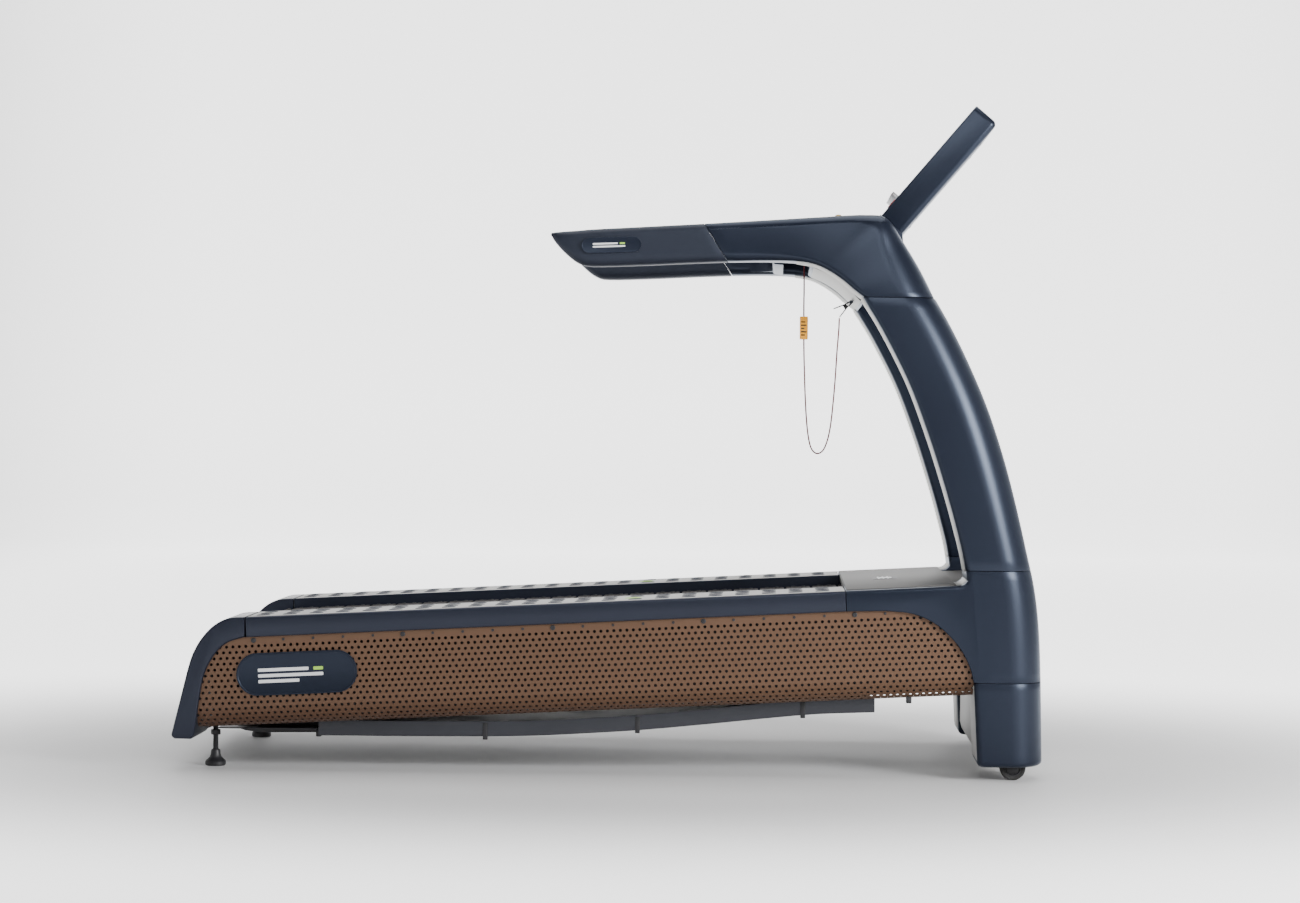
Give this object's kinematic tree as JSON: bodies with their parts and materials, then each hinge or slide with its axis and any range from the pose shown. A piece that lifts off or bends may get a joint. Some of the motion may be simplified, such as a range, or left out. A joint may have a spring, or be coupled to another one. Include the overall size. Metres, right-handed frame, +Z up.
{
  "type": "manual treadmill",
  "caption": "Self-powered slat-belt treadmill with an inclined running deck, foot rails, perforated side panels, curved uprights that turn into handrails, and a tilted console.",
  "frame": {"origin": "middle of the footprint on the floor plane", "axes": "+X towards the console end, +Y towards the runner's left, +Z up"},
  "size_m": [2.1485, 0.92, 1.6714],
  "materials": {
    "navy_shell": "satin, slightly metallic",
    "rail_aluminium": "anodised satin blue-grey",
    "copper_sheet": "satin copper brown",
    "pale_grip": "pale grey, fine-textured",
    "slat_rubber": "matt, fine texture",
    "steel": "plain",
    "frame_steel": "black powder coat",
    "drum_aluminium": "turned",
    "black_plastic": "satin black",
    "pan_grey": "dark grey",
    "display_glass": "gloss black",
    "silver_plastic": "silver grey",
    "generator_grey": "cast",
    "rubber": "black",
    "cord_red": "braided dark red",
    "tag_orange": "orange yellow",
    "stop_red": "satin red",
    "start_green": "satin green"
  },
  "bodies": {
    "frame": {"frame_beam_right": "frame_steel", "frame_beam_left": "frame_steel", "foot_rail_right": "rail_aluminium", "foot_rail_left": "rail_aluminium", "tread_strip_right": "pale_grip", "tread_strip_left": "pale_grip", "side_panel_right": "copper_sheet", "side_panel_left": "copper_sheet", "rear_cap_right": "navy_shell", "rear_cap_left": "navy_shell", "front_shroud_right": "navy_shell", "front_shroud_left": "navy_shell", "boot_right": "navy_shell", "boot_left": "navy_shell", "column_right": "navy_shell", "column_left": "navy_shell", "elbow_right": "navy_shell", "elbow_left": "navy_shell", "arm_grip_right": "navy_shell", "arm_grip_left": "navy_shell", "upright_tube_right": "steel", "upright_tube_left": "steel", "wheel_fork_right": "steel", "wheel_fork_left": "steel", "side_badge_right": "navy_shell", "side_badge_left": "navy_shell", "cross_tube_rear": "steel", "cross_tube_front": "steel", "rear_guard": "black_plastic", "belly_pan": "pan_grey", "rear_belly_cover": "black_plastic", "front_hood": "pale_grip", "nose_cover": "pale_grip", "dash": "navy_shell", "console_housing": "navy_shell", "display_glass": "display_glass", "tablet_ledge": "silver_plastic", "front_axle": "steel", "rear_axle": "steel", "generator": "generator_grey", "drive_belt": "rubber", "safety_cord": "cord_red", "cord_tag": "tag_orange", "clip_body": "black_plastic"},
    "belt_top_run": {"slats_top": "slat_rubber"},
    "belt_return_run": {"slats_return": "slat_rubber"},
    "front_drum_unit": {"front_drum": "drum_aluminium", "drive_pulley": "drum_aluminium", "slats_front": "slat_rubber"},
    "rear_drum_unit": {"rear_drum": "drum_aluminium", "slats_rear": "slat_rubber"},
    "generator_spindle": {"generator_rotor": "steel"},
    "wheel_right": {"front_wheel_right": "rubber"},
    "wheel_left": {"front_wheel_left": "rubber"},
    "foot_right": {"levelling_foot_right": "black_plastic"},
    "foot_left": {"levelling_foot_left": "black_plastic"},
    "stop_key": {"stop_button": "stop_red"},
    "start_key": {"start_button": "start_green"},
    "lanyard_key": {"magnet_key": "stop_red"},
    "clip_jaw": {"clip_lever": "black_plastic"}
  },
  "joints": [
    {"name": "belt_travel", "type": "slide", "parent": "frame", "child": "belt_top_run", "axis": [0.9985, 0, 0.0544], "range_m": [-0.035, 0.035]},
    {"name": "belt_return_travel", "type": "slide", "parent": "frame", "child": "belt_return_run", "axis": [0.9985, 0, 0.0544], "range_m": [-0.0352, 0.0352]},
    {"name": "front_drum_spin", "type": "hinge", "parent": "frame", "child": "front_drum_unit", "pos_m": [0.78545, 0, 0.3342], "axis": [0, 1, 0], "range_deg": [-20.28, 20.28]},
    {"name": "rear_drum_spin", "type": "hinge", "parent": "frame", "child": "rear_drum_unit", "pos_m": [-0.86109, 0, 0.24446], "axis": [0, 1, 0], "range_deg": [-20.28, 20.28]},
    {"name": "generator_spin", "type": "hinge", "parent": "frame", "child": "generator_spindle", "pos_m": [0.967, 0, 0.325], "axis": [0, 1, 0], "range_deg": [-58.3, 58.3]},
    {"name": "wheel_right_spin", "type": "hinge", "parent": "frame", "child": "wheel_right", "pos_m": [1.006, -0.4, 0.032], "axis": [0, 1, 0], "continuous": true},
    {"name": "wheel_left_spin", "type": "hinge", "parent": "frame", "child": "wheel_left", "pos_m": [1.006, 0.4, 0.032], "axis": [0, 1, 0], "continuous": true},
    {"name": "foot_right_height", "type": "slide", "parent": "frame", "child": "foot_right", "axis": [0, 0, 1], "range_m": [0, 0.012]},
    {"name": "foot_left_height", "type": "slide", "parent": "frame", "child": "foot_left", "axis": [0, 0, 1], "range_m": [0, 0.012]},
    {"name": "stop_press", "type": "slide", "parent": "frame", "child": "stop_key", "axis": [0.7615, 0, -0.6481], "range_m": [0, 0.0022], "stiffness_N_per_m": 900, "springref_m": -0.0005},
    {"name": "start_press", "type": "slide", "parent": "frame", "child": "start_key", "axis": [0.7615, 0, -0.6481], "range_m": [0, 0.0022], "stiffness_N_per_m": 900, "springref_m": -0.0005},
    {"name": "key_pull", "type": "slide", "parent": "frame", "child": "lanyard_key", "axis": [0, 0, -1], "range_m": [0, 0.02], "deforming": ["safety_cord"]},
    {"name": "clip_open", "type": "hinge", "parent": "frame", "child": "clip_jaw", "pos_m": [0.59466, 0, 1.17702], "axis": [0, 1, 0], "range_deg": [-18, 0], "stiffness_Nm_per_rad": 0.05, "springref_deg": 2.86}
  ],
  "couplings": [
    {"joint": "belt_return_travel", "follows": "belt_travel", "ratio": -1},
    {"joint": "front_drum_spin", "follows": "belt_travel", "rad_per_m": 10.101},
    {"joint": "rear_drum_spin", "follows": "belt_travel", "rad_per_m": 10.101},
    {"joint": "generator_spin", "follows": "belt_travel", "rad_per_m": 28.995}
  ]
}
